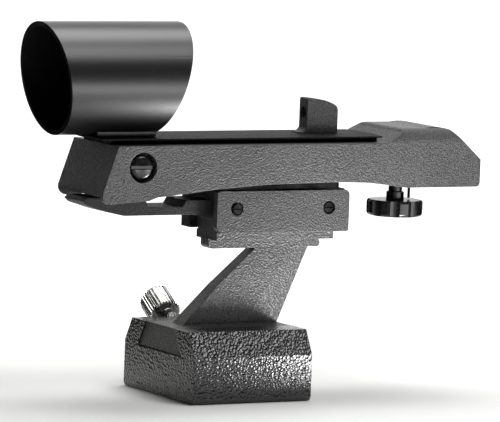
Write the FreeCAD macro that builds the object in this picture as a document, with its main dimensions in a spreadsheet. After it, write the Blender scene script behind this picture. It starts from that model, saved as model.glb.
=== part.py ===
import FreeCAD, Part
import math
import os
import Sketcher

# Red dot finder: a dovetail shoe, a slanted stalk that slides into it, a clamp that grips the
# stalk's rail, and a sight body that swings left and right and tilts up and down.
# Millimetres. X runs from the sky end (-X) to the eye end (+X), Z is up, and the origin is the
# centre of the shoe's underside.

doc = FreeCAD.newDocument("RedDotFinder")
sheet = doc.addObject("Spreadsheet::Sheet", "Sizes")


class Size:
    """A dimension that carries its value and the spreadsheet formula it comes from."""

    def __init__(self, value, text):
        self.value = float(value)
        self.text = text

    def __add__(self, other):
        other = as_size(other)
        return Size(self.value + other.value, "(%s + %s)" % (self.text, other.text))

    def __sub__(self, other):
        other = as_size(other)
        return Size(self.value - other.value, "(%s - %s)" % (self.text, other.text))

    def __mul__(self, other):
        other = as_size(other)
        return Size(self.value * other.value, "(%s * %s)" % (self.text, other.text))

    def __truediv__(self, other):
        other = as_size(other)
        return Size(self.value / other.value, "(%s / %s)" % (self.text, other.text))

    def __neg__(self):
        return Size(-self.value, "(0 - %s)" % self.text)

    def __radd__(self, other):
        return as_size(other) + self

    def __rsub__(self, other):
        return as_size(other) - self

    def __rmul__(self, other):
        return as_size(other) * self


def as_size(number):
    return number if isinstance(number, Size) else Size(number, "(%r)" % float(number))


def tangent(angle):
    return Size(math.tan(math.radians(angle.value)), "tan(%s)" % angle.text)


def cosine(angle):
    return Size(math.cos(math.radians(angle.value)), "cos(%s)" % angle.text)


def sine(angle):
    return Size(math.sin(math.radians(angle.value)), "sin(%s)" % angle.text)


sheet_row = [0]


def size(name, value):
    """One driving dimension, kept in the spreadsheet under its own name."""
    sheet_row[0] += 1
    sheet.set("A%d" % sheet_row[0], name)
    sheet.set("B%d" % sheet_row[0], str(value))
    sheet.setAlias("B%d" % sheet_row[0], name)
    return Size(value, "Sizes.%s" % name)


# Driving dimensions ---------------------------------------------------------------------------

shoe_length = size("shoe_length", 38)
shoe_width = size("shoe_width", 42.5)
shoe_height = size("shoe_height", 20)
shoe_shoulder = size("shoe_shoulder", 13.2)
shoe_inset = size("shoe_inset", 4)
base_bevel = size("base_bevel", 1.2)
flank_angle = size("flank_angle", 30.5)
slot_depth = size("slot_depth", 7.5)
slot_mouth = size("slot_mouth", 18)
slide_gap = size("slide_gap", 0.15)
bolt_spacing = size("bolt_spacing", 24)
bolt_hole = size("bolt_hole", 4.4)

lock_place = size("lock_place", -4.5)
lock_thread = size("lock_thread", 4)
lock_head = size("lock_head", 9.7)
lock_grip = size("lock_grip", 8)
boss_across = size("boss_across", 7.4)
boss_rise = size("boss_rise", 2.3)

column_front = size("column_front", -14)
column_lean = size("column_lean", 24.3)
web_width = size("web_width", 4.6)
web_bottom = size("web_bottom", 41.8)
rail_width = size("rail_width", 12.2)
rail_bottom = size("rail_bottom", 44.4)
rail_front = size("rail_front", -5.1)
rail_length = size("rail_length", 38.1)

clamp_front = size("clamp_front", -7.5)
clamp_length = size("clamp_length", 42.6)
clamp_width = size("clamp_width", 22.2)
clamp_bottom = size("clamp_bottom", 47.1)
clamp_height = size("clamp_height", 12)
jaw_thickness = size("jaw_thickness", 2.8)
clamp_screw_front = size("clamp_screw_front", -1.2)
clamp_screw_rear = size("clamp_screw_rear", 28.5)
clamp_screw_level = size("clamp_screw_level", 54.05)
bar_width = size("bar_width", 12)
bar_bottom = size("bar_bottom", 52.1)

swing_place = size("swing_place", 20)
swing_pin = size("swing_pin", 4)
beam_level = size("beam_level", 59.4)
beam_plate = size("beam_plate", 1.5)
beam_width = size("beam_width", 18.8)

tilt_place = size("tilt_place", -33.5)
tilt_level = size("tilt_level", 66.5)
bush_width = size("bush_width", 5)
windage_thread = size("windage_thread", 3)
windage_head = size("windage_head", 7.3)
knob_end = size("knob_end", 23.2)
running_gap = size("running_gap", 0.05)

body_width = size("body_width", 28)
body_wall = size("body_wall", 1.6)
body_top = size("body_top", 72.6)
body_rear = size("body_rear", 76.8)
hump_top = size("hump_top", 76.5)
hump_floor = size("hump_floor", 59.6)
hump_round = size("hump_round", 3.8)

deck_width = size("deck_width", 22)
deck_neck = size("deck_neck", 16)
deck_edge = size("deck_edge", 73.9)
deck_apex = size("deck_apex", 74.6)

tube_width = size("tube_width", 31.9)
tube_wall = size("tube_wall", 1.4)
tube_level = size("tube_level", 90.6)
tube_front = size("tube_front", -57.8)
tube_rear = size("tube_rear", -21.2)
tube_front_slant = size("tube_front_slant", 9)
tube_rear_slant = size("tube_rear_slant", 16)

post_front = size("post_front", 25.1)
post_width = size("post_width", 4.8)
post_top = size("post_top", 84.7)
led_width = size("led_width", 3)
led_level = size("led_level", 80.4)

knob_place = size("knob_place", 56.7)
knob_width = size("knob_width", 16.4)
knob_bottom = size("knob_bottom", 50.1)
knob_height = size("knob_height", 4.7)
elevation_thread = size("elevation_thread", 4)

cell_width = size("cell_width", 20)
cell_height = size("cell_height", 3.2)
cell_place = size("cell_place", 57.2)
cell_level = size("cell_level", 67.8)
dial_place = size("dial_place", 41)
dial_level = size("dial_level", 66.9)
dial_width = size("dial_width", 9.6)

doc.recompute()


# Building helpers -----------------------------------------------------------------------------

def bind(thing, prop, amount):
    """Tie one property of a feature to a dimension."""
    thing.setExpression(prop, as_size(amount).text)


def new_body(label):
    body = doc.addObject("PartDesign::Body", label)
    body.Label = label
    return body


def new_sketch(body, plane, shift=0.0):
    """A sketch on one of the body's own origin planes, moved along that plane's normal."""
    sketch = body.newObject("Sketcher::SketchObject", body.Name + "_outline")
    for datum in body.Origin.OriginFeatures:
        if datum.Role == plane + "_Plane":
            sketch.AttachmentSupport = (datum, [""])
    sketch.MapMode = "FlatFace"
    bind(sketch, "AttachmentOffset.Base.z", shift)
    return sketch


def hold(sketch, shape, vertex, across, up):
    """Fix a point of the sketch at two dimensions measured from the origin."""
    for kind, axis, amount in (("DistanceX", -2, across), ("DistanceY", -1, up)):
        amount = as_size(amount)
        if abs(amount.value) < 1e-9:
            sketch.addConstraint(Sketcher.Constraint("PointOnObject", shape, vertex, axis))
            continue
        index = sketch.addConstraint(Sketcher.Constraint(kind, -1, 1, shape, vertex, amount.value))
        sketch.setExpression("Constraints[%d]" % index, amount.text)


def bend(start, end, radius):
    """The short arc from start to end; a positive radius bulges to the right of travel."""
    chord = end - start
    middle = (start + end) * 0.5
    half = chord.Length / 2
    rise = abs(radius) - math.sqrt(max(radius * radius - half * half, 0.0))
    side = FreeCAD.Vector(chord.y, -chord.x, 0).normalize()
    crown = middle + side * (rise if radius > 0 else -rise)
    return Part.Arc(start, crown, end)


def outline(sketch, corners):
    """A closed outline; a corner with a third entry starts an arc of that radius."""
    points = []
    for corner in corners:
        points.append(FreeCAD.Vector(as_size(corner[0]).value, as_size(corner[1]).value, 0))
    starts = []
    ends = []
    first = sketch.GeometryCount
    for number, corner in enumerate(corners):
        start = points[number]
        end = points[(number + 1) % len(points)]
        if len(corner) == 3:
            shape = sketch.addGeometry(bend(start, end, as_size(corner[2]).value), False)
            index = sketch.addConstraint(
                Sketcher.Constraint("Radius", shape, abs(as_size(corner[2]).value)))
            sketch.setExpression("Constraints[%d]" % index, "abs(%s)" % as_size(corner[2]).text)
        else:
            shape = sketch.addGeometry(Part.LineSegment(start, end), False)
        forward = (sketch.getPoint(shape, 1) - start).Length < 1e-6
        starts.append(1 if forward else 2)
        ends.append(2 if forward else 1)
    for number, corner in enumerate(corners):
        after = (number + 1) % len(points)
        sketch.addConstraint(Sketcher.Constraint(
            "Coincident", first + number, ends[number], first + after, starts[after]))
    for number, corner in enumerate(corners):
        hold(sketch, first + number, starts[number], corner[0], corner[1])


def ring(sketch, across, up, width):
    """A circle of the given diameter."""
    centre = FreeCAD.Vector(as_size(across).value, as_size(up).value, 0)
    radius = as_size(width) / 2
    shape = sketch.addGeometry(Part.Circle(centre, FreeCAD.Vector(0, 0, 1), radius.value), False)
    hold(sketch, shape, 3, across, up)
    index = sketch.addConstraint(Sketcher.Constraint("Radius", shape, radius.value))
    sketch.setExpression("Constraints[%d]" % index, radius.text)


def push(body, kind, sketch, length, both=False, back=False):
    """Pad or pocket a sketch; both works from the middle, back reverses the direction."""
    feature = body.newObject("PartDesign::" + kind, body.Name + "_" + kind.lower())
    feature.Profile = sketch
    feature.SideType = "Symmetric" if both else "One side"
    feature.Reversed = back
    bind(feature, "Length", length)
    sketch.Visibility = False
    doc.recompute()
    return feature


def pad(body, plane, shift, corners, length, both=False, back=False):
    sketch = new_sketch(body, plane, shift)
    outline(sketch, corners)
    return push(body, "Pad", sketch, length, both, back)


def pocket(body, plane, shift, corners, length, both=False, back=False):
    sketch = new_sketch(body, plane, shift)
    outline(sketch, corners)
    return push(body, "Pocket", sketch, length, both, back)


def round_pad(body, plane, shift, circles, length, both=False, back=False):
    sketch = new_sketch(body, plane, shift)
    for circle in circles:
        ring(sketch, *circle)
    return push(body, "Pad", sketch, length, both, back)


def round_pocket(body, plane, shift, circles, length, both=False, back=False):
    sketch = new_sketch(body, plane, shift)
    for circle in circles:
        ring(sketch, *circle)
    return push(body, "Pocket", sketch, length, both, back)


def turned(label, corners):
    """A turned piece: half section in the XZ plane, spun about the body's own Z axis."""
    body = new_body(label)
    sketch = new_sketch(body, "XZ")
    outline(sketch, corners)
    spin = body.newObject("PartDesign::Revolution", label + "_turning")
    spin.Profile = sketch
    spin.ReferenceAxis = (sketch, ["V_Axis"])
    spin.Angle = 360
    sketch.Visibility = False
    doc.recompute()
    return body


def repeat_round(body, feature, count):
    """Repeat a cut all round the body's Z axis."""
    pattern = body.newObject("PartDesign::PolarPattern", body.Name + "_round")
    pattern.Originals = [feature]
    for datum in body.Origin.OriginFeatures:
        if datum.Role == "Z_Axis":
            pattern.Axis = (datum, [""])
    pattern.Angle = 360
    pattern.Occurrences = count
    body.Tip = pattern
    doc.recompute()
    return pattern


def soften(body, chosen, radius, kind="Fillet"):
    """Round or bevel the edges of the body's last feature that the test picks out."""
    base = body.Tip
    names = []
    for number, edge in enumerate(base.Shape.Edges):
        if chosen(edge):
            names.append("Edge%d" % (number + 1))
    feature = body.newObject("PartDesign::" + kind, body.Name + "_" + kind.lower())
    feature.Base = (base, names)
    bind(feature, "Radius" if kind == "Fillet" else "Size", radius)
    base.Visibility = False
    doc.recompute()
    return feature


def runs_along(edge, axis):
    """True for a straight edge parallel to a row axis: 0, 1 or 2 for X, Y or Z."""
    if len(edge.Vertexes) != 2 or edge.Curve.TypeId != "Part::GeomLine":
        return False
    span = edge.Vertexes[1].Point - edge.Vertexes[0].Point
    return abs(abs(span[axis]) - span.Length) < 1e-6


def place(thing, base, axis=(0, 0, 1), angle=0.0):
    """Stand a finished piece in its place, with its position tied to the sheet."""
    thing.Placement = FreeCAD.Placement(
        FreeCAD.Vector(*[as_size(amount).value for amount in base]),
        FreeCAD.Rotation(FreeCAD.Vector(*axis), as_size(angle).value))
    for letter, amount in zip("xyz", base):
        bind(thing, "Placement.Base." + letter, amount)


def gather(label, members):
    """Identical pieces that share one name, kept as separate solids."""
    group = doc.addObject("Part::Compound", label)
    group.Label = label
    group.Links = members
    doc.recompute()
    return group


pieces = []


# Shoe: moulded block with a dovetail slot, screwed down to the telescope -----------------------

slot_half_mouth = slot_mouth / 2
slot_half_floor = slot_half_mouth + slot_depth * tangent(flank_angle)
slot_level = shoe_height - slot_depth
shoe_half = shoe_width / 2

shoe = new_body("shoe")
pad(shoe, "YZ", 0, [
    (-shoe_half + base_bevel * 0.6, 0),
    (shoe_half - base_bevel * 0.6, 0),
    (shoe_half, base_bevel),
    (shoe_half, shoe_shoulder),
    (shoe_half - shoe_inset, shoe_height),
    (slot_half_mouth, shoe_height),
    (slot_half_floor, slot_level),
    (-slot_half_floor, slot_level),
    (-slot_half_mouth, shoe_height),
    (-shoe_half + shoe_inset, shoe_height),
    (-shoe_half, shoe_shoulder),
    (-shoe_half, base_bevel),
], shoe_length, both=True)

bolt_sketch = new_sketch(shoe, "XY", slot_level)
for side in (-1, 1):
    ring(bolt_sketch, bolt_spacing * side / 2, 0, bolt_hole)
bolt_holes = shoe.newObject("PartDesign::Hole", "shoe_bolt_holes")
bolt_holes.Profile = bolt_sketch
bolt_sketch.Visibility = False
bolt_holes.DepthType = "ThroughAll"
bolt_holes.ThreadType = "None"
bind(bolt_holes, "Diameter", bolt_hole)
bolt_holes.HoleCutType = "Countersink"
bolt_holes.HoleCutCountersinkAngle = 90
bind(bolt_holes, "HoleCutDiameter", bolt_hole * 2)
doc.recompute()

# A boss stands square on the far bevelled face and the lock screw's hole runs down through it.
lock_mid_across = shoe_half - shoe_inset / 2
lock_mid_up = (shoe_height + shoe_shoulder) / 2


def bevel_sketch(out, width):
    """A circle on a plane parallel to the far bevelled face, the given distance out from it."""
    sketch = new_sketch(shoe, "XY")
    sketch.AttachmentOffset = FreeCAD.Placement(
        FreeCAD.Vector(0, 0, 0), FreeCAD.Rotation(FreeCAD.Vector(1, 0, 0), flank_angle.value - 90))
    bind(sketch, "AttachmentOffset.Base.x", lock_place)
    bind(sketch, "AttachmentOffset.Base.y", lock_mid_across + out * cosine(flank_angle))
    bind(sketch, "AttachmentOffset.Base.z", lock_mid_up + out * sine(flank_angle))
    bind(sketch, "AttachmentOffset.Rotation.Angle", flank_angle - 90)
    ring(sketch, 0, 0, width)
    return sketch


push(shoe, "Pad", bevel_sketch(-1, boss_across), boss_rise + 1)
push(shoe, "Pocket", bevel_sketch(4, lock_thread + 2 * running_gap), 16)
pieces.append(shoe)


# Lock screw: bright turned screw with a straight-knurled head ---------------------------------

grip_start = size("grip_start", 5.7)
lock_tip = size("lock_tip", 7)
lock_screw = turned("lock_screw", [
    (0, -lock_tip),
    (lock_thread / 2 - 0.6, -lock_tip),
    (lock_thread / 2, -lock_tip + 0.6),
    (lock_thread / 2, grip_start - 1.2),
    (lock_head * 0.32, grip_start - 1.2),
    (lock_head * 0.32, grip_start),
    (lock_head / 2 - 0.5, grip_start),
    (lock_head / 2, grip_start + 0.5),
    (lock_head / 2, grip_start + lock_grip - 0.5),
    (lock_head / 2 - 0.5, grip_start + lock_grip),
    (lock_head / 2 - 1.4, grip_start + lock_grip),
    (lock_head / 2 - 1.8, grip_start + lock_grip - 0.4),
    (0, grip_start + lock_grip - 0.4),
])
knurl_depth = size("knurl_depth", 0.45)
knurl_half = size("knurl_half", 0.32)
knurl = pocket(lock_screw, "XY", grip_start - 0.2, [
    (lock_head / 2 - knurl_depth, 0),
    (lock_head / 2 + 0.2, -knurl_half * 1.6),
    (lock_head / 2 + 0.2, knurl_half * 1.6),
], lock_grip + 0.4, back=True)
repeat_round(lock_screw, knurl, 30)
place(lock_screw, (lock_place, lock_mid_across, lock_mid_up), (1, 0, 0), flank_angle - 90)
pieces.append(lock_screw)


# Stalk: one casting with the dovetail foot, the slanted column, the web and the rail -----------

foot_half_mouth = slot_half_mouth - slide_gap / cosine(flank_angle)
foot_level = slot_level + slide_gap
foot_half_floor = foot_half_mouth + (shoe_height - foot_level) * tangent(flank_angle)

stalk = new_body("stalk")
pad(stalk, "YZ", 0, [
    (-foot_half_floor, foot_level),
    (foot_half_floor, foot_level),
    (foot_half_mouth, shoe_height),
    (-foot_half_mouth, shoe_height),
], shoe_length - 0.8, both=True)

column_levels = (shoe_height - 0.4, 31, web_bottom + 0.5)
column_fronts = (column_front, column_front + column_lean * 0.47, column_front + column_lean)
column_creases = (5.5, 14.4, 22.2)
column_rears = (18.2, 22.9, 27.6)
column_halves = (3.2, 2.75, 2.3)
column_edges = (0.8, 1.1, 1.4)
column_sketches = []
for step in range(3):
    section = new_sketch(stalk, "XY", column_levels[step])
    outline(section, [
        (column_fronts[step], -column_halves[step]),
        (column_creases[step], -column_halves[step]),
        (column_rears[step], -column_edges[step]),
        (column_rears[step], column_edges[step]),
        (column_creases[step], column_halves[step]),
        (column_fronts[step], column_halves[step]),
    ])
    section.Visibility = False
    column_sketches.append(section)
column = stalk.newObject("PartDesign::AdditiveLoft", "stalk_column")
column.Profile = column_sketches[0]
column.Sections = column_sketches[1:]
column.Ruled = True
doc.recompute()

web_top = rail_bottom + 0.4
pad(stalk, "XZ", 0, [
    (rail_front - 0.6, web_bottom + 1.4, 1.4),
    (rail_front + 0.8, web_bottom),
    (30.0, web_bottom, 1.15),
    (30.0, web_bottom + 2.2),
    (30.0, web_top),
    (rail_front - 0.6, web_top),
], web_width, both=True)

rail_half = rail_width / 2
rail_neck = rail_half - 0.9
rail_ledge = clamp_bottom - 0.3
rail_crest = rail_bottom + 4.8
rail_top = rail_bottom + 6.2
pad(stalk, "YZ", rail_front, [
    (-rail_half, rail_bottom),
    (rail_half, rail_bottom),
    (rail_half, rail_ledge),
    (rail_neck, rail_ledge),
    (rail_half, rail_crest),
    (rail_half, rail_top),
    (-rail_half, rail_top),
    (-rail_half, rail_crest),
    (-rail_neck, rail_ledge),
    (-rail_half, rail_ledge),
], rail_length)
pieces.append(stalk)


# Mount frame: clamp block with the fixed jaw, the forward bar and the windage upstand ----------

clamp_top = clamp_bottom + clamp_height
clamp_half = clamp_width / 2
jaw_inside = clamp_half - jaw_thickness
grip_low = rail_neck + 0.28
grip_high = rail_half + 0.17
block_near = jaw_inside - 0.2

mount_frame = new_body("mount_frame")
pad(mount_frame, "YZ", clamp_front, [
    (-block_near, rail_top + 0.3),
    (grip_high, rail_top + 0.3),
    (grip_high, rail_crest),
    (grip_low, clamp_bottom),
    (clamp_half, clamp_bottom),
    (clamp_half, clamp_top),
    (-block_near, clamp_top),
], clamp_length)
pad(mount_frame, "XZ", 0, [
    (clamp_front + 1.5, bar_bottom),
    (clamp_front + 1.5, bar_bottom + 4.1),
    (clamp_front - 7.7, bar_bottom + 4.1),
    (clamp_front - 8.9, bar_bottom + 2.3),
    (clamp_front - 19.9, bar_bottom + 2.3),
    (clamp_front - 20.9, bar_bottom + 4.9),
    (clamp_front - 39.1, bar_bottom + 5.3),
    (clamp_front - 40.5, bar_bottom + 4.3),
    (clamp_front - 39.1, bar_bottom + 3.1),
    (clamp_front - 33.1, bar_bottom + 1.2),
    (clamp_front - 27.5, bar_bottom),
], bar_width, both=True)
upstand_half = size("upstand_half", 4)
pad(mount_frame, "XZ", 0, [
    (tilt_place - upstand_half, bar_bottom + 4),
    (tilt_place + upstand_half, bar_bottom + 4),
    (tilt_place + upstand_half, tilt_level, upstand_half),
    (tilt_place, tilt_level + upstand_half, upstand_half),
    (tilt_place - upstand_half, tilt_level),
], 7, both=True)
nut_width = size("nut_width", 5.4)
round_pocket(mount_frame, "XZ", 0, [(tilt_place, tilt_level, nut_width)], 8, both=True)
clamp_thread = size("clamp_thread", 2)
round_pocket(mount_frame, "XZ", block_near + 1, [
    (clamp_screw_front, clamp_screw_level, clamp_thread + 0.1),
    (clamp_screw_rear, clamp_screw_level, clamp_thread + 0.1),
], 10)
round_pocket(mount_frame, "XY", clamp_top + 0.5, [(swing_place, 0, swing_pin)], 7)
pieces.append(mount_frame)


# Clamp jaw: near plate, flexed very slightly so that its two halves catch the light apart ------

jaw_crease = size("jaw_crease", 13.7)
clamp_jaw = new_body("clamp_jaw")
clamp_rear = clamp_front + clamp_length
pad(clamp_jaw, "XZ", jaw_inside, [
    (clamp_front, clamp_bottom + 2, 2),
    (clamp_front + 2, clamp_bottom),
    (clamp_rear - 0.7, clamp_bottom, 0.7),
    (clamp_rear, clamp_bottom + 0.7),
    (clamp_rear, clamp_top - 1.6, 1.6),
    (clamp_rear - 1.6, clamp_top),
    (clamp_front + 0.7, clamp_top, 0.7),
    (clamp_front, clamp_top - 0.7),
], jaw_thickness)
pocket(clamp_jaw, "XY", (clamp_bottom + clamp_top) / 2, [
    (clamp_front - 1, -clamp_half - 1),
    (jaw_crease, -clamp_half - 1),
    (jaw_crease, -clamp_half),
    (clamp_front - 1, -clamp_half + 0.9),
], clamp_height + 4, both=True)
pad(clamp_jaw, "YZ", clamp_front + 2.9, [
    (-jaw_inside - 0.3, clamp_bottom + 0.1),
    (-grip_low, clamp_bottom + 0.1),
    (-grip_high, rail_crest - 0.1),
    (-jaw_inside - 0.3, rail_crest - 0.1),
], clamp_length - 5.8)
screw_spots = [
    (clamp_screw_front, clamp_screw_level),
    (clamp_screw_rear, clamp_screw_level),
]
round_pocket(clamp_jaw, "XZ", clamp_half + 0.5, [
    (across, up, clamp_thread + 0.3) for across, up in screw_spots], 6)
seat_width = size("seat_width", 3.9)
round_pocket(clamp_jaw, "XZ", clamp_half + 0.5, [
    (across, up, seat_width) for across, up in screw_spots], 2)
pieces.append(clamp_jaw)


# Clamp screws: two small cheese-head screws sunk in the near plate ----------------------------

def clamp_screw(label, across):
    head = seat_width - 0.7
    screw = turned(label, [
        (0, -9.5),
        (clamp_thread / 2, -9.5),
        (clamp_thread / 2, 0),
        (head / 2, 0),
        (head / 2, 1.0),
        (head / 2 - 0.25, 1.25),
        (0, 1.25),
    ])
    pocket(screw, "XY", 1.3, [
        (-head, -0.22),
        (head, -0.22),
        (head, 0.22),
        (-head, 0.22),
    ], 0.6)
    place(screw, (across, -clamp_half + 1.5, clamp_screw_level), (1, 0, 0), 90)
    return screw


clamp_screws = gather("clamp_screws", [
    clamp_screw("clamp_screw_a", clamp_screw_front),
    clamp_screw("clamp_screw_b", clamp_screw_rear),
])
pieces.append(clamp_screws)


# Swing pin: vertical pivot under the beam ----------------------------------------------------

beam_top = beam_level + beam_plate
swing_pivot = turned("swing_pivot", [
    (0, -6.4),
    (swing_pin / 2, -6.4),
    (swing_pin / 2, beam_top - clamp_top + 0.2),
    (3.4, beam_top - clamp_top + 0.2),
    (3.4, beam_top - clamp_top + 1.0),
    (3.0, beam_top - clamp_top + 1.3),
    (0, beam_top - clamp_top + 1.3),
])
place(swing_pivot, (swing_place, 0, clamp_top))
pieces.append(swing_pivot)


# Swing beam: pressed channel that carries the sight body and swings on the pin -----------------

cheek_half = size("cheek_half", 7.6)
cheek_inside = size("cheek_inside", 6)
tail_width = size("tail_width", 9)
tail_level = size("tail_level", 63)
tail_height = size("tail_height", 1.9)
tail_end = size("tail_end", 63.5)

swing_beam = new_body("swing_beam")
pad(swing_beam, "YZ", tilt_place - 5, [
    (-cheek_half, beam_level),
    (cheek_half, beam_level),
    (cheek_half, tilt_level + 4),
    (cheek_inside, tilt_level + 4),
    (cheek_inside, beam_top),
    (-cheek_inside, beam_top),
    (-cheek_inside, tilt_level + 4),
    (-cheek_half, tilt_level + 4),
], 26)
pocket(swing_beam, "XZ", 0, [
    (tilt_place + 6, tilt_level + 5),
    (tilt_place + 6, tilt_level + 3),
    (tilt_place + 19, beam_top + 0.8),
    (tilt_place + 23, beam_top + 0.8),
    (tilt_place + 23, tilt_level + 5),
], 20, both=True)
pocket(swing_beam, "XZ", 0, [
    (tilt_place - 6, beam_level - 1),
    (tilt_place + upstand_half + 1.4, beam_level - 1),
    (tilt_place + upstand_half + 1.4, tilt_level + 6),
    (tilt_place - 6, tilt_level + 6),
], cheek_inside * 2, both=True)
soften(swing_beam, lambda edge: runs_along(edge, 1) and edge.CenterOfMass.x < -38.4, 3)
pad(swing_beam, "XY", beam_level, [
    (tilt_place + upstand_half + 1.4, -beam_width / 2 + 1.8),
    (tilt_place + 14, -beam_width / 2),
    (31.5, -beam_width / 2, 1.5),
    (33.0, -beam_width / 2 + 1.5),
    (33.0, beam_width / 2 - 1.5, 1.5),
    (31.5, beam_width / 2),
    (tilt_place + 14, beam_width / 2),
    (tilt_place + upstand_half + 1.4, beam_width / 2 - 1.8),
], beam_plate)
pad(swing_beam, "XZ", 0, [
    (25, beam_top - 0.5),
    (30.5, beam_top - 0.5),
    (32.5, tail_level),
    (tail_end, tail_level),
    (tail_end, tail_level + tail_height),
    (30, tail_level + tail_height),
    (25, beam_top + 1),
], tail_width, both=True)
round_pocket(swing_beam, "XY", beam_top + 0.2, [(swing_place, 0, swing_pin + 0.15)], 3)
round_pocket(swing_beam, "XZ", 0, [(tilt_place, tilt_level, bush_width)], 20, both=True)
tip_width = size("tip_width", 2.6)
wire_reach = size("wire_reach", 4.6)
wire_width = size("wire_width", 0.85)
round_pocket(swing_beam, "XY", tail_level + tail_height + 0.5, [
    (knob_place, 0, tip_width + 0.15),
    (knob_place + wire_reach, 0, wire_width),
], 4)
pieces.append(swing_beam)


# Tilt bushes: turned sleeves pressed into the beam's cheeks; the sight body tilts on them -------

def tilt_bush(label, side):
    sleeve = turned(label, [
        (windage_thread / 2 + 0.1, cheek_inside),
        (bush_width / 2, cheek_inside),
        (bush_width / 2, 10.6),
        (windage_thread / 2 + 0.1, 10.6),
    ])
    place(sleeve, (tilt_place, 0, tilt_level), (1, 0, 0), 90 * side)
    return sleeve


tilt_bushes = gather("tilt_bushes", [tilt_bush("tilt_bush_a", 1), tilt_bush("tilt_bush_b", -1)])
pieces.append(tilt_bushes)


# Windage nut: barrel nut held in the upstand --------------------------------------------------

windage_nut = turned("windage_nut", [
    (windage_thread / 2 + 0.22, -3.4),
    (nut_width / 2, -3.4),
    (nut_width / 2, 3.4),
    (windage_thread / 2 + 0.22, 3.4),
])
place(windage_nut, (tilt_place, 0, tilt_level), (1, 0, 0), 90)
pieces.append(windage_nut)


# Windage screw: black thumb screw across the body, its head sunk in the near side --------------

windage_screw = turned("windage_screw", [
    (0, -12.4),
    (windage_thread / 2, -12.4),
    (windage_thread / 2, 10.8),
    (windage_head / 2 - 0.4, 10.8),
    (windage_head / 2, 11.2),
    (windage_head / 2, 12.7, 1.6),
    (windage_head / 2 - 1.2, 13.7),
    (0, 14.1),
])
flute = round_pocket(windage_screw, "XY", 15, [(windage_head / 2 + 0.35, 0, 1.5)], 4.3)
repeat_round(windage_screw, flute, 8)
pocket(windage_screw, "XY", 15, [
    (-windage_head, -0.5),
    (windage_head, -0.5),
    (windage_head, 0.5),
    (-windage_head, 0.5),
], 2.0)
place(windage_screw, (tilt_place, 0, tilt_level), (1, 0, 0), 90)
pieces.append(windage_screw)

# Windage knob: pressed on the screw's far end, standing well clear of the body.
windage_knob = turned("windage_knob", [
    (windage_thread / 2, 10.9),
    (3.1, 10.9),
    (3.1, 15.2),
    (windage_head / 2, 15.8),
    (windage_head / 2, knob_end - 0.6, 0.6),
    (windage_head / 2 - 0.6, knob_end),
    (0, knob_end),
    (0, 12.6),
    (windage_thread / 2, 12.6),
])
knob_flute = round_pocket(windage_knob, "XY", knob_end + 1,
                          [(windage_head / 2 + 0.35, 0, 1.3)], knob_end - 15.4)
repeat_round(windage_knob, knob_flute, 10)
place(windage_knob, (tilt_place, 0, tilt_level), (1, 0, 0), -90)
pieces.append(windage_knob)


# Main housing: moulded shell, open underneath, with the battery hump at the eye end -------------

body_half = body_width / 2
inner_half = body_half - body_wall
slope_low = (body_rear, hump_top - 9)
slope_high = (body_rear - 9.7, hump_top - 0.3)
slope_run = slope_low[0] - slope_high[0]
slope_rise = slope_high[1] - slope_low[1]
slope_length = Size(math.hypot(slope_run.value, slope_rise.value),
                    "sqrt(%s ^ 2 + %s ^ 2)" % (slope_run.text, slope_rise.text))


def on_slope(up, under):
    """A point measured along the rear slope and square down from it."""
    return (slope_low[0] - up * slope_run / slope_length - under * slope_rise / slope_length,
            slope_low[1] + up * slope_rise / slope_length - under * slope_run / slope_length)


main_housing = new_body("main_housing")
pad(main_housing, "XZ", 0, [
    (-43.2, 56.25),
    (-38.0, 56.7),
    (-31.4, 57.1),
    (-28.6, 58.1),
    (-24.0, 58.5),
    (-9.8, 60.1),
    (6.0, 61.2),
    (28.0, 61.6),
    (40.0, 61.2),
    (52.5, hump_floor),
    (body_rear - 1.2, hump_floor, 1.2),
    (body_rear, hump_floor + 1.2),
    slope_low,
    (slope_high[0], slope_high[1], 16),
    (body_rear - 17, hump_top),
    (52.6, hump_top, 2.4),
    (50.6, hump_top - 0.9),
    (45.6, body_top),
    (-41.4, body_top),
    (-45.88, 59.69, 2.6),
], body_width, both=True)

# The hump's long top edges are rounded over.
for side in (-1, 1):
    pocket(main_housing, "YZ", body_rear + 2, [
        (side * body_half, hump_top - hump_round, hump_round * side),
        (side * (body_half - hump_round), hump_top),
        (side * (body_half - hump_round), hump_top + 1),
        (side * (body_half + 1), hump_top + 1),
        (side * (body_half + 1), hump_top - hump_round),
    ], 32)

floor_top = hump_floor + 1.3
ceiling = body_top - 1.6
void_low = on_slope(0.4, 3.3)
void_high = on_slope(slope_length - 1.2, 3.3)
pocket(main_housing, "XZ", 0, [
    (-40.2, ceiling),
    (-44.6, 58.3),
    (-52.0, 58.3),
    (-52.0, 50.0),
    (46.0, 50.0),
    (46.0, floor_top),
    (void_low[0], floor_top),
    void_low,
    void_high,
    (void_high[0] - 1.5, hump_top - 1.7),
    (52.0, hump_top - 1.7),
    (47.2, ceiling),
], inner_half * 2, both=True)

boss_width = size("boss_width", 11.6)
boss_inside = size("boss_inside", 7.9)
boss_length = inner_half - boss_inside + 0.2
round_pad(main_housing, "XZ", boss_inside, [(tilt_place, tilt_level, boss_width)], boss_length)
round_pad(main_housing, "XZ", -boss_inside, [(tilt_place, tilt_level, boss_width)], boss_length,
          back=True)
recess_width = size("recess_width", 8.6)
recess_depth = size("recess_depth", 3.6)
round_pocket(main_housing, "XZ", body_half + 0.1, [(tilt_place, tilt_level, recess_width)],
             recess_depth)
round_pocket(main_housing, "XZ", -body_half - 0.1, [(tilt_place, tilt_level, recess_width)],
             recess_depth, back=True)
round_pocket(main_housing, "XZ", 0, [(tilt_place, tilt_level, bush_width + 2 * running_gap)],
             body_width, both=True)
insert_width = size("insert_width", 7)
round_pocket(main_housing, "XY", floor_top + 0.1, [
    (knob_place, 0, insert_width),
    (knob_place + wire_reach, 0, 1.8),
], 2)
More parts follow.
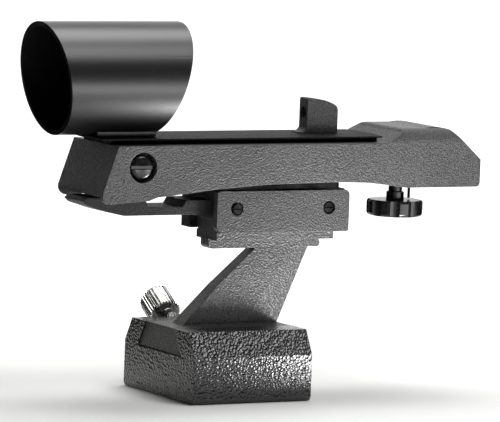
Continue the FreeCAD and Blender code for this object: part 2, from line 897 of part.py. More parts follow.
round_pocket(main_housing, "XZ", -body_half - 0.5, [(dial_place, dial_level, 3.3)], 3, back=True)
lead_place = size("lead_place", 31)
round_pocket(main_housing, "XY", body_top + 0.5, [(lead_place, 0, 2.6)], 3)
deck_screw_front = size("deck_screw_front", -16)
deck_screw_rear = size("deck_screw_rear", 39)
deck_thread = size("deck_thread", 1.6)
deck_spots = [(deck_screw_front, 0), (deck_screw_rear, 0)]
round_pocket(main_housing, "XY", body_top + 0.5, [
    (across, up, deck_thread + 0.2) for across, up in deck_spots], 3)

# The rear slope is opened for the battery, with a groove each side for its cover; both run out
# through the rear face so that the cover can slide off.
hatch_width = size("hatch_width", 20)
groove_top = size("groove_top", 0.9)
groove_height = size("groove_height", 1.6)
pocket(main_housing, "XZ", 0, [
    on_slope(-3, -1), on_slope(-3, groove_top + 0.1),
    on_slope(slope_length - 2.4, groove_top + 0.1), on_slope(slope_length - 2.4, -1),
], hatch_width, both=True)
pocket(main_housing, "XZ", 0, [
    on_slope(-3, groove_top), on_slope(-3, groove_top + groove_height),
    on_slope(slope_length - 1.2, groove_top + groove_height),
    on_slope(slope_length - 1.2, groove_top),
], hatch_width + 2.4, both=True)
pocket(main_housing, "XZ", 0, [
    on_slope(1.6, groove_top + 0.5), on_slope(1.6, 4.4),
    on_slope(slope_length - 2.4, 4.4), on_slope(slope_length - 2.4, groove_top + 0.5),
], hatch_width + 0.6, both=True)
pieces.append(main_housing)


# Spine deck: slightly crowned strip along the top, undercut along both edges --------------------

deck_front = size("deck_front", -45)
deck_rear = size("deck_rear", 45.2)
deck_rise = deck_apex - deck_edge - 0.4
deck_half = deck_width / 2
deck_radius = (deck_half * deck_half + deck_rise * deck_rise) / (2 * deck_rise)
spine_deck = new_body("spine_deck")
pad(spine_deck, "YZ", deck_front, [
    (-deck_neck / 2, body_top),
    (deck_neck / 2, body_top),
    (deck_neck / 2, deck_edge),
    (deck_half, deck_edge),
    (deck_half, deck_edge + 0.4, deck_radius),
    (-deck_half, deck_edge + 0.4),
    (-deck_half, deck_edge),
    (-deck_neck / 2, deck_edge),
], deck_rear - deck_front)
pocket(spine_deck, "XZ", 0, [
    (deck_front - 1, body_top - 1),
    (-41.3, body_top - 1),
    (-41.3, deck_edge),
    (deck_front - 1, deck_edge),
], deck_width, both=True)
round_pocket(spine_deck, "XY", deck_apex + 0.5, [(lead_place, 0, 2.6)], 4)
round_pocket(spine_deck, "XY", deck_edge + 0.1, [
    (across, up, deck_thread) for across, up in deck_spots], 2)
pieces.append(spine_deck)


# Deck screws: two small screws driven up from inside the housing -------------------------------

def deck_screw(label, across):
    screw = turned(label, [
        (0, -1.3),
        (1.5, -1.3),
        (1.5, 0),
        (deck_thread / 2, 0),
        (deck_thread / 2, 2.7),
        (0, 2.7),
    ])
    place(screw, (across, 0, ceiling))
    return screw


deck_screws = gather("deck_screws", [
    deck_screw("deck_screw_a", deck_screw_front),
    deck_screw("deck_screw_b", deck_screw_rear),
])
pieces.append(deck_screws)


# Sight tube: thin moulded tube with both ends cut on the slant, on a short saddle ---------------

tube_radius = tube_width / 2
tube_bore = tube_width - tube_wall * 2
saddle_half = size("saddle_half", 6)
sight_tube = new_body("sight_tube")
round_pad(sight_tube, "YZ", -64, [(0, tube_level, tube_width)], 54)
pad(sight_tube, "YZ", -44.2, [
    (-saddle_half, deck_apex + 0.03),
    (saddle_half, deck_apex + 0.03),
    (saddle_half, tube_level - tube_radius + 1.6),
    (-saddle_half, tube_level - tube_radius + 1.6),
], 20)
round_pocket(sight_tube, "YZ", -8, [(0, tube_level, tube_bore)], 60)
front_shift = tangent(tube_front_slant) * 20
rear_shift = tangent(tube_rear_slant) * 20
pocket(sight_tube, "XZ", 0, [
    (tube_front - front_shift, tube_level + 20),
    (-70, tube_level + 20),
    (-70, tube_level - 20),
    (tube_front + front_shift, tube_level - 20),
], 40, both=True)
pocket(sight_tube, "XZ", 0, [
    (tube_rear + rear_shift, tube_level + 20),
    (tube_rear - rear_shift, tube_level - 20),
    (-5, tube_level - 20),
    (-5, tube_level + 20),
], 40, both=True)
pieces.append(sight_tube)


# Lens and its retaining ring ------------------------------------------------------------------

lens_place = size("lens_place", -36)
lens_width = tube_bore - 0.4
lens_sag = size("lens_sag", 0.9)
lens_curve = (lens_width * lens_width / 4 + lens_sag * lens_sag) / (2 * lens_sag)
lens = turned("lens", [
    (0, -1.3, lens_curve),
    (lens_width / 2, -1.3 + lens_sag),
    (lens_width / 2, 0.9 + lens_sag, -lens_curve),
    (0, 0.9),
])
place(lens, (lens_place, 0, tube_level), (0, 1, 0), 86)
pieces.append(lens)

lens_ring = turned("lens_ring", [
    (tube_bore / 2 - 1.3, 0),
    (tube_bore / 2, 0),
    (tube_bore / 2, 1.6),
    (tube_bore / 2 - 0.9, 1.6),
])
place(lens_ring, (lens_place - 5.2, 0, tube_level), (0, 1, 0), 90)
pieces.append(lens_ring)


# LED post: thin fin on the deck that carries the red lamp ---------------------------------------

led_post = new_body("led_post")
pad(led_post, "XZ", 0, [
    (post_front - 2.4, deck_apex),
    (post_front + 10, deck_apex),
    (post_front + 10, post_top - 3.6, 2.0),
    (post_front + 9.0, post_top - 2.0, 14),
    (post_front + 4, post_top - 0.4, 14),
    (post_front + 0.6, post_top, 0.6),
    (post_front, post_top - 0.6),
    (post_front, deck_apex + 1.6, -2.2),
    (post_front - 1.4, deck_apex + 0.4),
    (post_front - 2.4, deck_apex + 0.3),
], post_width, both=True)
round_pocket(led_post, "YZ", post_front + 6.8, [(0, led_level, led_width + 0.2)], 10)
round_pocket(led_post, "XY", led_level, [(lead_place, 0, 2.4)], 10)
pieces.append(led_post)

led = turned("led", [
    (0, -1.8),
    (led_width / 2 - 0.05, -1.8),
    (led_width / 2 - 0.05, 1.0, led_width / 2 - 0.05),
    (0, 1.0 + led_width / 2 - 0.05),
])
place(led, (post_front + 3.1, 0, led_level), (0, 1, 0), -90)
pieces.append(led)


# LED lead: flat twin lead from the lamp down through the deck to the board ----------------------

lead_level = size("lead_level", 69.8)
lead_bend = size("lead_bend", 1.5)
led_lead = new_body("led_lead")
lead_path = new_sketch(led_lead, "XZ")
lead_run = size("lead_run", 7.6)
upper = lead_path.addGeometry(Part.LineSegment(
    FreeCAD.Vector(0, (led_level - 0.6).value, 0),
    FreeCAD.Vector(0, (lead_level + lead_bend).value, 0)), False)
elbow = lead_path.addGeometry(bend(
    FreeCAD.Vector(0, (lead_level + lead_bend).value, 0),
    FreeCAD.Vector(lead_bend.value, lead_level.value, 0), lead_bend.value), False)
lower = lead_path.addGeometry(Part.LineSegment(
    FreeCAD.Vector(lead_bend.value, lead_level.value, 0),
    FreeCAD.Vector(lead_run.value, lead_level.value, 0)), False)
elbow_start = 1 if lead_path.getPoint(elbow, 1).x < 1e-6 else 2
lead_path.addConstraint(Sketcher.Constraint("Coincident", upper, 2, elbow, elbow_start))
lead_path.addConstraint(Sketcher.Constraint("Coincident", lower, 1, elbow, 3 - elbow_start))
hold(lead_path, upper, 1, 0, led_level - 0.6)
hold(lead_path, upper, 2, 0, lead_level + lead_bend)
hold(lead_path, lower, 1, lead_bend, lead_level)
hold(lead_path, lower, 2, lead_run, lead_level)
elbow_radius = lead_path.addConstraint(Sketcher.Constraint("Radius", elbow, lead_bend.value))
lead_path.setExpression("Constraints[%d]" % elbow_radius, lead_bend.text)
lead_section = new_sketch(led_lead, "XY", led_level - 0.6)
outline(lead_section, [
    (-0.4, -0.8),
    (0.4, -0.8),
    (0.4, 0.8),
    (-0.4, 0.8),
])
lead_sweep = led_lead.newObject("PartDesign::AdditivePipe", "led_lead_sweep")
lead_sweep.Profile = lead_section
lead_sweep.Spine = lead_path
lead_path.Visibility = False
lead_section.Visibility = False
doc.recompute()
place(led_lead, (lead_place, 0, 0), (0, 0, 1), 42)
pieces.append(led_lead)


# Circuit board with the brightness control on it ------------------------------------------------

board_face = size("board_face", 6)
circuit_board = new_body("circuit_board")
pad(circuit_board, "XZ", -board_face, [
    (dial_place - 6, 62.6),
    (dial_place + 5.4, 62.6),
    (dial_place + 5.4, 70.7),
    (dial_place - 6, 70.7),
], 1, back=True)
pad(circuit_board, "XZ", -board_face - 0.9, [
    (dial_place - 3.8, dial_level - 3.8),
    (dial_place + 3.8, dial_level - 3.8),
    (dial_place + 3.8, dial_level + 3.7),
    (dial_place - 3.8, dial_level + 3.7),
], 5, back=True)
pieces.append(circuit_board)


# Brightness dial: ribbed wheel on the far side ---------------------------------------------------

brightness_dial = turned("brightness_dial", [
    (0, 12.1),
    (1.55, 12.1),
    (1.55, body_half + 0.3),
    (dial_width / 2, body_half + 0.3),
    (dial_width / 2, body_half + 2.9, 0.8),
    (dial_width / 2 - 0.8, body_half + 3.7),
    (0, body_half + 3.7),
])
rib = round_pocket(brightness_dial, "XY", body_half + 4, [(dial_width / 2 + 0.3, 0, 1.0)], 3.4)
repeat_round(brightness_dial, rib, 18)
pocket(brightness_dial, "XY", body_half + 4, [
    (0.6, -0.35),
    (dial_width / 2 - 1.2, -0.35),
    (dial_width / 2 - 1.2, 0.35),
    (0.6, 0.35),
], 0.7)
place(brightness_dial, (dial_place, 0, dial_level), (1, 0, 0), -90)
pieces.append(brightness_dial)


# Battery: coin cell on a tray, with a contact above and below -----------------------------------

tray_rear = cell_place + 9.4
battery_tray = new_body("battery_tray")
pad(battery_tray, "XY", cell_level - 1.0, [
    (cell_place - 10.6, -inner_half),
    (tray_rear, -inner_half),
    (tray_rear, inner_half),
    (cell_place - 10.6, inner_half),
], 0.8)
pocket(battery_tray, "XY", cell_level, [
    (cell_place - 12, -5.2),
    (tail_end + 0.6, -5.2),
    (tail_end + 0.6, 5.2),
    (cell_place - 12, 5.2),
], 3)
pieces.append(battery_tray)

battery_cell = turned("battery_cell", [
    (0, 0),
    (cell_width / 2 - 1.1, 0),
    (cell_width / 2 - 1.1, 0.2),
    (cell_width / 2, 0.5),
    (cell_width / 2, cell_height - 0.4, 0.4),
    (cell_width / 2 - 0.4, cell_height),
    (0, cell_height),
])
place(battery_cell, (cell_place, 0, cell_level))
pieces.append(battery_cell)

contact_top = new_body("contact_top")
contact_level = cell_level + cell_height
pad(contact_top, "XZ", 0, [
    (cell_place - 6, contact_level),
    (cell_place + 4, contact_level),
    (cell_place + 4, contact_level + 0.3),
    (cell_place - 4.6, contact_level + 0.3),
    (cell_place - 4.6, hump_top - 1.8),
    (cell_place - 4.9, hump_top - 1.8),
    (cell_place - 4.9, contact_level + 0.3),
    (cell_place - 6, contact_level + 0.3),
], 4, both=True)
pieces.append(contact_top)

contact_bottom = new_body("contact_bottom")
pad(contact_bottom, "XY", cell_level - 0.2, [
    (cell_place - 8, 6.4),
    (cell_place + 3, 6.4),
    (cell_place + 3, 9.2),
    (cell_place - 8, 9.2),
], 0.15)
pieces.append(contact_bottom)


# Battery cover: slides down and back along the grooves of the rear slope ------------------------

cover_gap = size("cover_gap", 0.15)
battery_cover = new_body("battery_cover")
cover_low = groove_top + cover_gap
cover_deep = groove_top + groove_height - cover_gap
pad(battery_cover, "XZ", 0, [
    on_slope(0.9, cover_low), on_slope(0.9, cover_deep),
    on_slope(slope_length - 1.6, cover_deep), on_slope(slope_length - 1.6, cover_low),
], hatch_width + 2.4 - 2 * cover_gap, both=True)
pad(battery_cover, "XZ", 0, [
    on_slope(0.9, 0.1), on_slope(0.9, cover_low + 0.2),
    on_slope(slope_length - 2.7, cover_low + 0.2), on_slope(slope_length - 2.7, 0.1),
], hatch_width - 0.6, both=True)
for step in range(4):
    reach = 3.4 + 1.6 * step
    pocket(battery_cover, "XZ", 0, [
        on_slope(reach, -0.5), on_slope(reach, 0.6),
        on_slope(reach + 0.7, 0.6), on_slope(reach + 0.7, -0.5),
    ], 10, both=True)
pieces.append(battery_cover)


# Elevation insert, screw and click wire ----------------------------------------------------------

elevation_insert = turned("elevation_insert", [
    (elevation_thread / 2 + 0.35, -0.5),
    (insert_width / 2 + 0.1, -0.5),
    (insert_width / 2 + 0.1, -0.05),
    (insert_width / 2, -0.05),
    (insert_width / 2, 1.3),
    (elevation_thread / 2 + 0.35, 1.3),
])
place(elevation_insert, (knob_place, 0, hump_floor))
pieces.append(elevation_insert)

neck_half = size("neck_half", 2.6)
elevation_screw = turned("elevation_screw", [
    (0, 0),
    (knob_width / 2 - 1.0, 0, 1.2),
    (knob_width / 2, 0.9),
    (knob_width / 2, knob_height - 0.7, 0.8),
    (knob_width / 2 - 0.8, knob_height),
    (neck_half, knob_height),
    (neck_half, knob_height + 2.2),
    (elevation_thread / 2, knob_height + 2.5),
    (elevation_thread / 2, tail_level - knob_bottom - 0.3),
    (tip_width / 2, tail_level - knob_bottom - 0.3),
    (tip_width / 2, tail_level - knob_bottom + tail_height + 0.2),
    (0, tail_level - knob_bottom + tail_height + 0.2),
])
lobe = round_pocket(elevation_screw, "XY", knob_height + 1, [(knob_width / 2 + 1.1, 0, 4.0)], 7)
repeat_round(elevation_screw, lobe, 9)
place(elevation_screw, (knob_place, 0, knob_bottom))
pieces.append(elevation_screw)

click_wire = turned("click_wire", [
    (0, 0),
    (wire_width / 2, 0),
    (wire_width / 2, tail_level + tail_height - knob_bottom - knob_height - 0.3),
    (0, tail_level + tail_height - knob_bottom - knob_height - 0.3),
])
place(click_wire, (knob_place + wire_reach, 0, knob_bottom + knob_height + 0.3))
pieces.append(click_wire)


# Checks and files ------------------------------------------------------------------------------

doc.recompute()
troubled = []
for thing in doc.Objects:
    if "Invalid" in thing.State or "Error" in thing.State:
        troubled.append(thing.Name)
    if thing.isDerivedFrom("Sketcher::SketchObject") and thing.solve() != 0:
        troubled.append(thing.Name + " (sketch)")
for piece in pieces:
    if piece.Shape.isNull() or not piece.Shape.isValid() or not piece.Shape.Solids:
        troubled.append(piece.Label + " (shape)")
if troubled:
    raise RuntimeError("not sound: " + ", ".join(troubled))

os.makedirs("parts", exist_ok=True)
for piece in pieces:
    piece.Shape.exportStep("parts/%s.step" % piece.Label)
    print("%-18s %2d solid(s) %10.1f mm3" % (
        piece.Label, len(piece.Shape.Solids), piece.Shape.Volume))
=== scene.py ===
import math

import bpy
import bmesh
from mathutils import Matrix, Vector


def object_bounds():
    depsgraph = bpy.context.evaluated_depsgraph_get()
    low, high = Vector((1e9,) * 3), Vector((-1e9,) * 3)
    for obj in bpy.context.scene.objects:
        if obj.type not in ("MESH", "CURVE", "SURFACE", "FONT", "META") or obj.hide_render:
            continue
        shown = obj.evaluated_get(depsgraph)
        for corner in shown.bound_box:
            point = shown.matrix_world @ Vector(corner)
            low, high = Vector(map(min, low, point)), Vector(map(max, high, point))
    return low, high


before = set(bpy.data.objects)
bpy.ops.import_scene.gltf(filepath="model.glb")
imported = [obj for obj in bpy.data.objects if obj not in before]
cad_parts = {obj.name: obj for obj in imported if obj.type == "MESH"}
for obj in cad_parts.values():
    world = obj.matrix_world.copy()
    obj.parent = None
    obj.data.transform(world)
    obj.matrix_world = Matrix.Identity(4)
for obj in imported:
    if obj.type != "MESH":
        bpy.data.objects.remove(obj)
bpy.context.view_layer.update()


# Sight body: two-sided shell with the battery hump, the strip along its top, the lamp post and
# the battery cover. Injection-moulded black ABS from spark-eroded tools, snapped and screwed
# together. The mount's clamp, its near plate and the forward bar are moulded the same way.

MM = 0.001


def linear(hex_colour):
    """An sRGB hex colour as linear red, green, blue and alpha."""
    channels = [int(hex_colour[i:i + 2], 16) / 255 for i in (1, 3, 5)]
    return [c / 12.92 if c <= 0.04045 else ((c + 0.055) / 1.055) ** 2.4 for c in channels] + [1.0]


def add(tree, kind, settings=None, links=None):
    """One node with its settings (attributes, socket values or colour stops) and its links."""
    node = tree.nodes.new(kind)
    for name, value in (settings or {}).items():
        if name == "stops":
            band = node.color_ramp.elements
            while len(band) < len(value):
                band.new(0.5)
            for element, (where, colour) in zip(band, value):
                element.position = where
                element.color = colour
        elif hasattr(node, str(name)):
            setattr(node, name, value)
        else:
            node.inputs[name].default_value = value
    for name, source in (links or {}).items():
        tree.links.new(source, node.inputs[name])
    return node


def new_finish(name, shader):
    """A material with its Principled shader set; returns it with its tree and shader."""
    material = bpy.data.materials.new(name)
    material.use_nodes = True
    tree = material.node_tree
    principled = tree.nodes["Principled BSDF"]
    for socket, value in shader.items():
        principled.inputs[socket].default_value = value
    return material, tree, principled


def moulded_abs(name, dark, light, grain_mm, depth_mm, rough, gloss):
    """Moulded ABS with an eroded grain, with its speckle painted into the colour: a painted
    highlight on each pit's rim and painted shade in its floor. Handled edges are a little paler
    and smoother."""
    haze_mm = 1.7 * grain_mm
    drift_mm = 26
    edge_radius_mm = 0.35
    material, tree, shader = new_finish(name, {"IOR": 1.53, "Specular IOR Level": gloss})
    place = add(tree, "ShaderNodeTexCoord")
    pits = add(tree, "ShaderNodeTexVoronoi",
               {"Scale": 1 / (grain_mm * MM), "Randomness": 1.0, "feature": "SMOOTH_F1",
                "Smoothness": 0.35},
               {"Vector": place.outputs["Object"]})
    haze = add(tree, "ShaderNodeTexNoise",
               {"Scale": 1 / (haze_mm * MM), "Detail": 3.0, "Roughness": 0.65},
               {"Vector": place.outputs["Object"]})
    drift = add(tree, "ShaderNodeTexNoise", {"Scale": 1 / (drift_mm * MM), "Detail": 2.0},
                {"Vector": place.outputs["Object"]})
    relief = add(tree, "ShaderNodeMath", {"operation": "MULTIPLY_ADD", 1: 0.75},
                 {0: haze.outputs["Fac"], 2: pits.outputs["Distance"]})
    # Painted highlight and shade: the grain's relief sets the colour, pale on the pit rims and
    # black in the pit floors.
    speckle = add(tree, "ShaderNodeValToRGB",
                  {"stops": [(0.50, linear(dark)), (0.86, linear(light))]},
                  {0: relief.outputs[0]})
    patch = add(tree, "ShaderNodeValToRGB",
                {"stops": [(0.3, linear("#d8d8d8")), (0.7, linear("#ffffff"))]},
                {0: drift.outputs["Fac"]})
    tint = add(tree, "ShaderNodeMix", {"data_type": "RGBA", "blend_type": "MULTIPLY", 0: 1.0},
               {6: speckle.outputs["Color"], 7: patch.outputs["Color"]})
    shape = add(tree, "ShaderNodeNewGeometry")
    rounded = add(tree, "ShaderNodeBevel", {"samples": 6, "Radius": edge_radius_mm * MM})
    turned_away = add(tree, "ShaderNodeVectorMath", {"operation": "DOT_PRODUCT"},
                      {0: shape.outputs["True Normal"], 1: rounded.outputs["Normal"]})
    worn = add(tree, "ShaderNodeValToRGB",
               {"stops": [(0.80, linear("#b0b0b0")), (0.97, linear("#000000"))]},
               {0: turned_away.outputs["Value"]})
    edge = add(tree, "ShaderNodeMix", {"data_type": "RGBA", 7: linear("#555556")},
               {0: worn.outputs["Color"], 6: tint.outputs[2]})
    sheen = add(tree, "ShaderNodeMapRange",
                {"From Min": 0.3, "From Max": 1.1, "To Min": rough + 0.1, "To Max": rough - 0.1},
                {"Value": relief.outputs[0]})
    bump = add(tree, "ShaderNodeBump", {"Strength": 1.0, "Distance": depth_mm * MM},
               {"Height": relief.outputs[0], "Normal": rounded.outputs["Normal"]})
    tree.links.new(edge.outputs[2], shader.inputs["Base Color"])
    tree.links.new(sheen.outputs["Result"], shader.inputs["Roughness"])
    tree.links.new(bump.outputs["Normal"], shader.inputs["Normal"])
    return material


def dress(node, material):
    """Give a carried-over node its finish."""
    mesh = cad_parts[node].data
    mesh.materials.clear()
    mesh.materials.append(material)


fine_grain_abs = moulded_abs("moulded_abs_fine_grain", "#020203", "#4c4c4d",
                             grain_mm=0.44, depth_mm=0.17, rough=0.44, gloss=0.42)
for node in ("main_housing", "led_post", "battery_cover"):
    dress(node, fine_grain_abs)
# The strip along the top gets a darker, duller copy of the body's grain: painted shade, because
# its top faces away from the lamps.
dress("spine_deck", moulded_abs("moulded_abs_deck_painted_shade", "#020202", "#1c1c1d",
                                grain_mm=0.45, depth_mm=0.12, rough=0.62, gloss=0.08))
dress("clamp_jaw", moulded_abs("moulded_abs_clamp_grain", "#020203", "#444445",
                               grain_mm=0.44, depth_mm=0.15, rough=0.44, gloss=0.34))
# The forward bar gets a darker copy of the clamp's grain: painted shade, because it sits in the
# body's shadow.
dress("mount_frame", moulded_abs("moulded_abs_mount_painted_shade", "#020203", "#2a2a2b",
                                 grain_mm=0.44, depth_mm=0.12, rough=0.5, gloss=0.2))


# Shoe and stalk: glass-filled nylon, moulded with a coarse pebble so that it hides scratches from
# being slid in and out. The shoe shines more than the body does.

dress("shoe", moulded_abs("moulded_nylon_pebbled", "#020202", "#1e1e1e",
                          grain_mm=0.75, depth_mm=0.18, rough=0.24, gloss=0.75))
dress("stalk", moulded_abs("moulded_nylon_stalk_grain", "#020202", "#4a4a4a",
                           grain_mm=0.48, depth_mm=0.17, rough=0.42, gloss=0.45))


# Sight tube and the ring that holds the lens: ABS moulded in a polished tool, satin outside, with
# faint hairline scratches from being handled.

def satin_abs(name, dark, light, rough):
    """Moulded ABS from a polished tool: a soft satin shine, a trace of haze and thin scratches."""
    grain_mm = 0.45
    scratch_long_mm = 22
    scratch_wide_mm = 0.5
    material, tree, shader = new_finish(name, {"IOR": 1.53, "Specular IOR Level": 0.55})
    place = add(tree, "ShaderNodeTexCoord")
    grain = add(tree, "ShaderNodeTexNoise",
                {"Scale": 1 / (grain_mm * MM), "Detail": 4.0, "Roughness": 0.7},
                {"Vector": place.outputs["Object"]})
    tone = add(tree, "ShaderNodeValToRGB",
               {"stops": [(0.35, linear(dark)), (0.7, linear(light))]},
               {0: grain.outputs["Fac"]})
    stretch = add(tree, "ShaderNodeMapping",
                  {"Rotation": (0.2, 1.2, 0.5),
                   "Scale": (1 / (scratch_long_mm * MM), 1 / (scratch_wide_mm * MM),
                             1 / (scratch_long_mm * MM))},
                  {"Vector": place.outputs["Object"]})
    lines = add(tree, "ShaderNodeTexNoise", {"Scale": 1.0, "Detail": 1.0},
                {"Vector": stretch.outputs["Vector"]})
    scratch = add(tree, "ShaderNodeValToRGB",
                  {"stops": [(0.72, linear("#000000")), (0.76, linear("#ffffff"))]},
                  {0: lines.outputs["Fac"]})
    haze = add(tree, "ShaderNodeMapRange", {"To Min": rough - 0.06, "To Max": rough + 0.08},
               {"Value": grain.outputs["Fac"]})
    deep = add(tree, "ShaderNodeMath", {"operation": "MULTIPLY_ADD", 1: -0.4},
               {0: scratch.outputs["Color"], 2: grain.outputs["Fac"]})
    bump = add(tree, "ShaderNodeBump", {"Strength": 0.5, "Distance": 0.04 * MM},
               {"Height": deep.outputs[0]})
    tree.links.new(tone.outputs["Color"], shader.inputs["Base Color"])
    tree.links.new(haze.outputs["Result"], shader.inputs["Roughness"])
    tree.links.new(bump.outputs["Normal"], shader.inputs["Normal"])
    return material


tube_abs = satin_abs("moulded_abs_satin_tube", "#050506", "#181819", rough=0.32)
for node in ("sight_tube", "lens_ring"):
    dress(node, tube_abs)


# Thumb screws and the brightness dial: ABS knobs moulded with a high gloss and pressed or moulded
# onto their screws.

def glossy_abs(name, colour, rough):
    """Gloss-moulded resin: sharp highlights, broken by light dust and handling haze."""
    dust_mm = 0.8
    material, tree, shader = new_finish(
        name, {"IOR": 1.48, "Coat Weight": 0.08, "Coat Roughness": 0.12})
    place = add(tree, "ShaderNodeTexCoord")
    dust = add(tree, "ShaderNodeTexNoise", {"Scale": 1 / (dust_mm * MM), "Detail": 5.0},
               {"Vector": place.outputs["Object"]})
    tone = add(tree, "ShaderNodeValToRGB",
               {"stops": [(0.4, linear(colour)), (0.8, linear("#1e1e20"))]},
               {0: dust.outputs["Fac"]})
    haze = add(tree, "ShaderNodeMapRange", {"To Min": rough - 0.05, "To Max": rough + 0.12},
               {"Value": dust.outputs["Fac"]})
    bump = add(tree, "ShaderNodeBump", {"Strength": 0.3, "Distance": 0.02 * MM},
               {"Height": dust.outputs["Fac"]})
    tree.links.new(tone.outputs["Color"], shader.inputs["Base Color"])
    tree.links.new(haze.outputs["Result"], shader.inputs["Roughness"])
    tree.links.new(bump.outputs["Normal"], shader.inputs["Normal"])
    return material


knob_abs = glossy_abs("moulded_abs_gloss_knob", "#060607", rough=0.2)
for node in ("windage_screw", "windage_knob", "elevation_screw", "brightness_dial"):
    dress(node, knob_abs)


# Metal parts: the nickel-plated lock screw, pivot, cell and contacts, the blackened screws, beam
# and click wire, and the brass nut, insert and bushes. Turned, pressed or drawn.

def turned_metal(name, colour, tarnish, rough):
    """Turned and plated metal: bright, with fine lathe marks and a little dulling in patches."""
    mark_mm = 0.25
    stain_mm = 3.5
    material, tree, shader = new_finish(name, {"Metallic": 1.0})
    place = add(tree, "ShaderNodeTexCoord")
    marks = add(tree, "ShaderNodeTexNoise", {"Scale": 1 / (mark_mm * MM), "Detail": 3.0},
                {"Vector": place.outputs["Object"]})
    stain = add(tree, "ShaderNodeTexNoise", {"Scale": 1 / (stain_mm * MM), "Detail": 4.0},
                {"Vector": place.outputs["Object"]})
    tone = add(tree, "ShaderNodeValToRGB",
               {"stops": [(0.35, linear(tarnish)), (0.65, linear(colour))]},
               {0: stain.outputs["Fac"]})
    haze = add(tree, "ShaderNodeMapRange", {"To Min": rough - 0.08, "To Max": rough + 0.12},
               {"Value": stain.outputs["Fac"]})
    bump = add(tree, "ShaderNodeBump", {"Strength": 0.4, "Distance": 0.02 * MM},
               {"Height": marks.outputs["Fac"]})
    tree.links.new(tone.outputs["Color"], shader.inputs["Base Color"])
    tree.links.new(haze.outputs["Result"], shader.inputs["Roughness"])
    tree.links.new(bump.outputs["Normal"], shader.inputs["Normal"])
    return material


plated_steel = turned_metal("turned_steel_nickel_plated", "#e6e6e4", "#b9b9b4", rough=0.24)
for node in ("lock_screw", "contact_top", "contact_bottom", "battery_cell", "swing_pivot"):
    dress(node, plated_steel)
blackened_steel = turned_metal("turned_steel_blackened", "#2c2c2e", "#131314", rough=0.42)
for node in ("clamp_screws", "deck_screws", "swing_beam", "click_wire"):
    dress(node, blackened_steel)
turned_brass = turned_metal("turned_brass", "#d8b36a", "#a98442", rough=0.3)
for node in ("tilt_bushes", "windage_nut", "elevation_insert"):
    dress(node, turned_brass)


# Lens: ground glass with a partly reflecting coat, held by its ring inside the tube.

def coated_glass(name):
    """Ground and coated glass: almost black, with a plum and green drift in the coat."""
    film_mm = 9
    dust_mm = 1.5
    material, tree, shader = new_finish(
        name, {"IOR": 1.52, "Coat Weight": 0.6, "Coat Roughness": 0.03,
               "Specular Tint": linear("#c08fd0")})
    place = add(tree, "ShaderNodeTexCoord")
    film = add(tree, "ShaderNodeTexNoise", {"Scale": 1 / (film_mm * MM), "Detail": 1.0},
               {"Vector": place.outputs["Object"]})
    tone = add(tree, "ShaderNodeValToRGB",
               {"stops": [(0.3, linear("#0d0a0f")), (0.5, linear("#1c1226")),
                          (0.7, linear("#153022"))]},
               {0: film.outputs["Fac"]})
    dust = add(tree, "ShaderNodeTexNoise", {"Scale": 1 / (dust_mm * MM), "Detail": 5.0},
               {"Vector": place.outputs["Object"]})
    haze = add(tree, "ShaderNodeMapRange", {"To Min": 0.03, "To Max": 0.12},
               {"Value": dust.outputs["Fac"]})
    tree.links.new(tone.outputs["Color"], shader.inputs["Base Color"])
    tree.links.new(haze.outputs["Result"], shader.inputs["Roughness"])
    return material


dress("lens", coated_glass("ground_glass_coated"))


# Lamp, lead, board and battery tray: cast, extruded, laminated and moulded, all with the shine of
# a bare resin surface. They sit inside the body.

dress("led", glossy_abs("cast_epoxy_red", "#8a0d10", rough=0.12))
dress("led_lead", glossy_abs("extruded_pvc_lead", "#3a0a0a", rough=0.35))
dress("circuit_board", glossy_abs("laminated_glass_epoxy_board", "#0d3a1c", rough=0.35))
dress("battery_tray", satin_abs("moulded_abs_tray", "#141415", "#2a2a2b", rough=0.45))


# Floor: a pale matt paper sweep, flat under the finder and curved up behind it, just below the
# shoe so that the two don't meet.

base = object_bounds()[0].z
floor_drop = 0.0002
half_width = 3.0
flat_to = 0.9
bend_radius = 0.5
bend_steps = 12
sweep_top = 3.0
sweep_turn = math.radians(-29)
profile = [(-half_width, base - floor_drop), (flat_to, base - floor_drop)]
for step in range(1, bend_steps + 1):
    angle = math.radians(90 * step / bend_steps)
    profile.append((flat_to + bend_radius * math.sin(angle),
                    base + bend_radius - bend_radius * math.cos(angle)))
profile.append((flat_to + bend_radius, sweep_top))
sheet = bmesh.new()
for along, up in profile:
    for side in (-half_width, half_width):
        sheet.verts.new((side, along, up))
sheet.verts.ensure_lookup_table()
for step in range(len(profile) - 1):
    first = step * 2
    sheet.faces.new([sheet.verts[first], sheet.verts[first + 1],
                     sheet.verts[first + 3], sheet.verts[first + 2]])
floor_mesh = bpy.data.meshes.new("floor")
sheet.to_mesh(floor_mesh)
sheet.free()
for face in floor_mesh.polygons:
    face.use_smooth = True
floor = bpy.data.objects.new("floor", floor_mesh)
bpy.context.scene.collection.objects.link(floor)
floor.rotation_euler = (0, 0, sweep_turn)
floor_mesh.materials.append(new_finish(
    "paper_matt_sweep", {"Base Color": linear("#f4f4f2"), "Roughness": 0.9})[0])


# Light: a dim white surround, a soft box on the near right, a large one overhead, a box that
# lights the sweep, and two low boxes shining up from the table that the sides mirror.

world = bpy.data.worlds.new("surround")
bpy.context.scene.world = world
world.use_nodes = True
surround = world.node_tree.nodes["Background"].inputs
surround["Color"].default_value = linear("#ffffff")
surround["Strength"].default_value = 0.06


def light_box(name, wide, tall, watts, where, turn):
    """A rectangular soft box of the given size, power, place and rotation."""
    lamp = bpy.data.lights.new(name, "AREA")
    lamp.shape = "RECTANGLE"
    lamp.size = wide
    lamp.size_y = tall
    lamp.energy = watts
    holder = bpy.data.objects.new(name, lamp)
    bpy.context.scene.collection.objects.link(holder)
    holder.location = where
    holder.rotation_euler = turn
    return holder


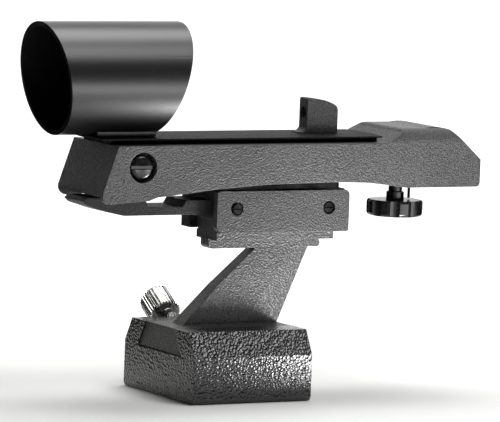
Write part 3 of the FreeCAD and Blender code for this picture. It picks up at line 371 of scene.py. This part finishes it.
def aimed_box(name, azimuth, elevation, distance, wide, tall, watts):
    """A soft box aimed at the middle of the finder."""
    middle = Vector((0.01, 0, 0.06))
    turn, rise = math.radians(azimuth), math.radians(elevation)
    away = Vector((math.sin(turn) * math.cos(rise), -math.cos(turn) * math.cos(rise),
                   math.sin(rise)))
    light_box(name, wide, tall, watts, middle + away * distance,
              (-away).to_track_quat("-Z", "Y").to_euler())


def table_glow(name, across, along, wide, deep, watts):
    """A low box beside the finder that shines upward and that the camera doesn't see."""
    glow_height = 0.003
    glow = light_box(name, wide, deep, watts, (across, along, glow_height),
                     (math.pi, 0, math.radians(30)))
    glow.visible_camera = False


aimed_box("side_box", azimuth=30, elevation=55, distance=0.9, wide=0.45, tall=0.4, watts=3.2)
aimed_box("top_box", azimuth=140, elevation=72, distance=1.1, wide=0.9, tall=0.7, watts=12)
table_glow("far_table_glow", across=0.19, along=-0.36, wide=0.34, deep=0.42, watts=2.1)
table_glow("near_table_glow", across=0.05, along=-0.056, wide=0.035, deep=0.045, watts=0.2)
backdrop_box = light_box("backdrop_box", wide=1.0, tall=0.5, watts=9, where=(0.2, 0.36, 0.75),
                         turn=(math.radians(62), 0, sweep_turn))
backdrop_box.visible_camera = False
bpy.context.scene.view_settings.view_transform = "Standard"


# Black cards: felt on board, standing left and right of the finder and lying on the table. They
# are only seen in its shine, where they darken it, and cast no shade.

card_foot = 0.001
left_card = [(-0.25, -0.28, card_foot), (-0.25, 0.75, card_foot),
             (-0.25, 0.75, 0.45), (-0.25, -0.28, 0.45)]
left_strip = [(-0.08, 0.02, card_foot), (0.26, 0.75, card_foot)]
right_card = [(0.21, -0.14, card_foot), (0.21, 0.13, card_foot),
              (0.21, 0.13, 0.4), (0.21, -0.14, 0.4)]
right_strip = [(0.095, -0.05, card_foot), (0.185, 0.13, card_foot)]
card_mesh = bpy.data.meshes.new("black_card")
card_mesh.from_pydata(left_card + left_strip + right_card + right_strip, [],
                      [(0, 1, 2, 3), (0, 4, 5, 1), (6, 7, 8, 9), (10, 6, 7, 11)])
card = bpy.data.objects.new("black_card", card_mesh)
bpy.context.scene.collection.objects.link(card)
card.visible_camera = False
card.visible_shadow = False
card.visible_diffuse = False
card_mesh.materials.append(new_finish(
    "black_felt_card", {"Base Color": linear("#050505"), "Roughness": 1.0,
                        "Specular IOR Level": 0.0})[0])


# Camera: a long lens from the sky end's left, a little above the finder.

camera_turn = math.radians(-28.96)
camera_rise = math.radians(5.96)
camera_roll = math.radians(2.17)
camera_range = 1.454
lens_mm = 365.0
shift_across = 0.0048
shift_up = 0.0004
across = Vector((math.cos(camera_turn), math.sin(camera_turn), 0))
back = Vector((math.sin(camera_turn) * math.cos(camera_rise),
               -math.cos(camera_turn) * math.cos(camera_rise), math.sin(camera_rise)))
upward = back.cross(across)
aim = Vector((0.01425, 0, 0.05225)) - across * shift_across - upward * shift_up
right = across * math.cos(camera_roll) + upward * math.sin(camera_roll)
over = upward * math.cos(camera_roll) - across * math.sin(camera_roll)
camera_data = bpy.data.cameras.new("camera")
camera_data.lens = lens_mm
camera_data.sensor_width = 36.0
camera_data.clip_end = 20
camera = bpy.data.objects.new("camera", camera_data)
bpy.context.scene.collection.objects.link(camera)
camera.matrix_world = Matrix((
    (right.x, over.x, back.x, aim.x + back.x * camera_range),
    (right.y, over.y, back.y, aim.y + back.y * camera_range),
    (right.z, over.z, back.z, aim.z + back.z * camera_range),
    (0, 0, 0, 1)))
bpy.context.scene.camera = camera
